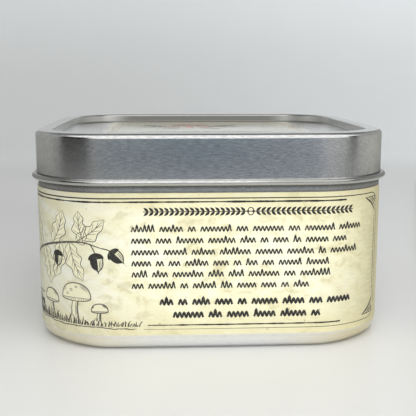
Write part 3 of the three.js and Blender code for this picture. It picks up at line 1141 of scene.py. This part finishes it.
def printLidLabel():
    draw = random.Random(11)
    p = lidPrint
    ochre = Print("lid_border", lidInks["ochre"], onLid)
    green = Print("lid_leaves", lidInks["green"], onLid)
    orange = Print("lid_caps", lidInks["orange"], onLid)
    black = Print("lid_drawing", lidInks["pencil"], onLid)
    for further, width in p["rules"]:
        inset = p["border"] + further
        x, y, r = cardHigh.x - inset, cardHigh.y - inset, p["borderRadius"] - inset * 0.4
        ochre.stroke(roundedPath([(0, y), (x, y), (x, -y), (-x, -y), (-x, y), (0, y)], r, 1.2), width)
    middle = Vector(p["group"])
    drawLeaves(green, black, middle, p["leaves"], 4, 0.2)
    for foot, *toadstool in p["toadstools"]:
        drawToadstool(orange, black, middle + Vector(foot), *toadstool)
    for up, half in p["words"]:
        drawWords(black, -half, half, up, p["wordSize"], p["wordWeight"], draw)
    drawGarland(black, *p["garland"])
    for page in (ochre, green, orange, black):
        page.finish()


printLidLabel()
print("lid label printed")


# camera, floor and light
view = dict(
    place=(-10.85, -240.51, 71.09),
    yaw=0.0486, pitch=0.172,  # radians: to the right of +Y, and down
    focal=778.8 / 416,  # in frame widths
    sensor=36,
)


def addCamera():
    data = bpy.data.cameras.new("camera")
    data.sensor_width = view["sensor"]
    data.lens = view["focal"] * view["sensor"]
    data.clip_start = 0.01
    camera = bpy.data.objects.new("camera", data)
    bpy.context.scene.collection.objects.link(camera)
    camera.location = Vector(view["place"]) * mm
    level = math.cos(view["pitch"])
    forward = Vector((math.sin(view["yaw"]) * level, math.cos(view["yaw"]) * level, -math.sin(view["pitch"])))
    camera.rotation_euler = forward.to_track_quat("-Z", "Y").to_euler()
    bpy.context.scene.camera = camera


addCamera()


def addStage(name, points, faces, finish):
    # what stands round the tin, from points in millimetres
    mesh = bpy.data.meshes.new(name)
    mesh.from_pydata([Vector(point) * mm for point in points], [], faces)
    mesh.materials.append(finish)
    for polygon in mesh.polygons:
        polygon.use_smooth = True
    made = bpy.data.objects.new(name, mesh)
    bpy.context.scene.collection.objects.link(made)
    return made


def turned(profile, low, high, count=96):
    # a profile turned round the vertical axis from low to high degrees, where 0 is -Y and 90 is +X
    points, faces = [], []
    for spot in profile:
        for i in range(count + 1):
            angle = math.radians(low + (high - low) * i / count)
            points.append((spot.x * math.sin(angle), -spot.x * math.cos(angle), spot.y))
    for j in range(len(profile) - 1):
        for i in range(count):
            a, b = j * (count + 1) + i, (j + 1) * (count + 1) + i
            faces.append((a, a + 1, b + 1, b))
    return points, faces


studio = dict(
    dishRadius=900, bend=350, wallHeight=700, rings=(0.001, 150, 300, 450),
    floorTone=(0.84, 0.84, 0.825), gloss=0.5,
    glowColour=(0.93, 1.0, 1.06),
    glows=(  # how strong, and where each fades in: an axis, metres along it, and the shares if not 0 and 1
        (0.156, ("y", -0.2, 0.5), ("z", 0.02, 0.2), ("x", -0.5, 0.6, 0.8, 1.05)),  # the low wall at the back
        (0.1, ("x", -0.1, 0.5), ("y", -0.4, 0.2)),  # the right
        (0.08, ("y", 0.3, 0.44), ("x", -0.3, 0.3, 0.9, 1.45)),  # the far part of the floor
    ),
    shade=(0.12, ("x", -0.02, -0.08), ("y", 0.26, 0.14), ("y", -0.05, -0.005, 0.4, 1)),  # left of the tin
    sky=(0.2, 0.2, 0.2),
)


def addFloor():
    # a round floor that sweeps up into a low wall, which glows a little at the back
    s = studio
    f = Finish(bpy.data.materials.new("floor"))
    ways = dict(zip("xyz", f.parts(f.node("ShaderNodeTexCoord", output="Object"))))

    def faded(strength, *fades):
        for way, *fade in fades:
            strength = f.ease(ways[way], *fade) * strength
        return strength

    wall, right, far = (faded(*glow) for glow in s["glows"])
    finish = f.surface({
        "Base Color": f.blend(faded(*s["shade"]), s["floorTone"], (0, 0, 0)), "Roughness": 0.6,
        "Coat Weight": s["gloss"], "Coat Roughness": 0.22,
        "Emission Color": f.blend(wall + right + far, (0, 0, 0), s["glowColour"]), "Emission Strength": 1.0,
    })
    profile = [Vector((r, 0)) for r in s["rings"]]
    profile += arc((s["dishRadius"] - s["bend"], s["bend"]), s["bend"], -90, 0, 6)
    profile.append(Vector((s["dishRadius"], s["wallHeight"])))
    addStage("floor", *turned(profile, 0, 360), finish)


addFloor()


def glowFinish(f, colour):
    light = f.node("ShaderNodeEmission", {}, {"Color": colour, "Strength": 1.0})
    f.node("ShaderNodeOutputMaterial", {}, {"Surface": light})
    return f.owner


def onlyMirrored(piece):
    # only the metal and the lacquer see it
    piece.visible_camera = piece.visible_diffuse = piece.visible_shadow = piece.visible_transmission = False


screen = dict(
    radius=300, height=270, spread=150,
    low=(  # the tones near the floor, from the left round to the right, by degrees from -Y
        (-150, (0.3, 0.3, 0.28)), (-95, (0.36, 0.36, 0.34)), (-77, (0.26, 0.26, 0.25)),
        (-64, (0.17, 0.17, 0.16)), (-48, (0.145, 0.145, 0.145)), (-30, (0.19, 0.195, 0.2)),
        (-9, (0.1, 0.139, 0.168)), (0, (0.052, 0.096, 0.15)), (12, (0.115, 0.155, 0.2)),
        (22, (0.28, 0.3, 0.34)), (33, (0.37, 0.38, 0.39)), (44, (0.33, 0.34, 0.34)), (57, (0.3, 0.31, 0.3)),
        (66, (0.37, 0.375, 0.36)), (80, (0.44, 0.44, 0.415)), (100, (0.48, 0.48, 0.44)),
        (150, (0.28, 0.28, 0.26))),
    side=(0.36, 0.36, 0.35), bright=(1.15, 1.15, 1.13),  # the upper tones, at the ends and in the middle
    foot=(0.02, 0), footShade=0.85,  # heights are in metres
    rise=(0.03, 0.1), darkRise=(0.016, 0.032),  # where the upper tones and the dark between them start
    brightSpan=(-0.66, -0.5, 0.93, 1.05), darkSpan=(-1.33, -1.2, 1.15, 1.28),  # radians
    darkFade=(0.3, 0.9, 0.84, 0.6),  # the low dark is weaker on the right
)


def addScreen():
    # a curved screen round the front of the stage
    s = screen
    f = Finish(bpy.data.materials.new("screen"))
    x, y, z = f.parts(f.node("ShaderNodeTexCoord", output="Object"))
    angle = f.node("ShaderNodeMath", {"operation": "ARCTAN2"}, {0: x, 1: -1 * y})

    def within(start, fullStart, fullEnd, end):
        return f.ease(angle, start, fullStart) * f.ease(angle, fullEnd, end, 1, 0)

    bright, dark = within(*s["brightSpan"]), within(*s["darkSpan"])
    whole = 2 * s["spread"]
    stops = [(turn / whole + 0.5, tone) for turn, tone in s["low"]]
    colour = f.node("ShaderNodeValToRGB", {"stops": stops}, {0: angle * (math.degrees(1) / whole) + 0.5})
    colour = f.blend(f.ease(z, *s["foot"]) * s["footShade"], colour, (0, 0, 0))
    lowDark = f.ease(z, *s["darkRise"]) * (dark - bright) * f.ease(angle, *s["darkFade"])
    colour = f.blend(lowDark, colour, (0, 0, 0))
    upper = f.blend(bright, f.blend(dark, s["side"], (0, 0, 0)), s["bright"])
    colour = f.blend(f.ease(z, *s["rise"]), colour, upper)
    profile = [Vector((s["radius"], 0)), Vector((s["radius"], s["height"]))]
    onlyMirrored(addStage("screen", *turned(profile, -s["spread"], s["spread"]), glowFinish(f, colour)))


addScreen()

card = dict(height=170, left=-210, right=300, front=-300, back=-60)  # level, up to just in front of the lid


def addCard():
    c = card
    finish = glowFinish(Finish(bpy.data.materials.new("card")), (*screen["bright"], 1))
    corners = [(x, y, c["height"]) for x, y in (
        (c["left"], c["front"]), (c["right"], c["front"]), (c["right"], c["back"]), (c["left"], c["back"]))]
    onlyMirrored(addStage("card", corners, [(0, 1, 2, 3)], finish))


addCard()

lamps = dict(  # place, size and power
    softbox=((40, -300, 520), (620, 540), 2.2),
    fill=((-60, -620, 240), (520, 360), 1.8),
)
lampTarget = (0, 0, 20)


def addLamp(name, place, size, power):
    data = bpy.data.lights.new(name, "AREA")
    data.shape = "RECTANGLE"
    data.size, data.size_y = (s * mm for s in size)
    data.energy = power
    lamp = bpy.data.objects.new(name, data)
    bpy.context.scene.collection.objects.link(lamp)
    lamp.location = Vector(place) * mm
    lamp.rotation_euler = (Vector(lampTarget) - Vector(place)).to_track_quat("-Z", "Y").to_euler()
    lamp.visible_glossy = False  # the metal mirrors the screen instead


for name, lamp in lamps.items():
    addLamp(name, *lamp)


def lightWorld():
    world = bpy.data.worlds.new("studio")
    bpy.context.scene.world = world
    f = Finish(world)
    background = f.node("ShaderNodeBackground", {}, {"Color": (*studio["sky"], 1), "Strength": 1.0})
    f.node("ShaderNodeOutputWorld", {}, {"Surface": background})


lightWorld()
bpy.context.scene.view_settings.view_transform = "Standard"
print("stage set")
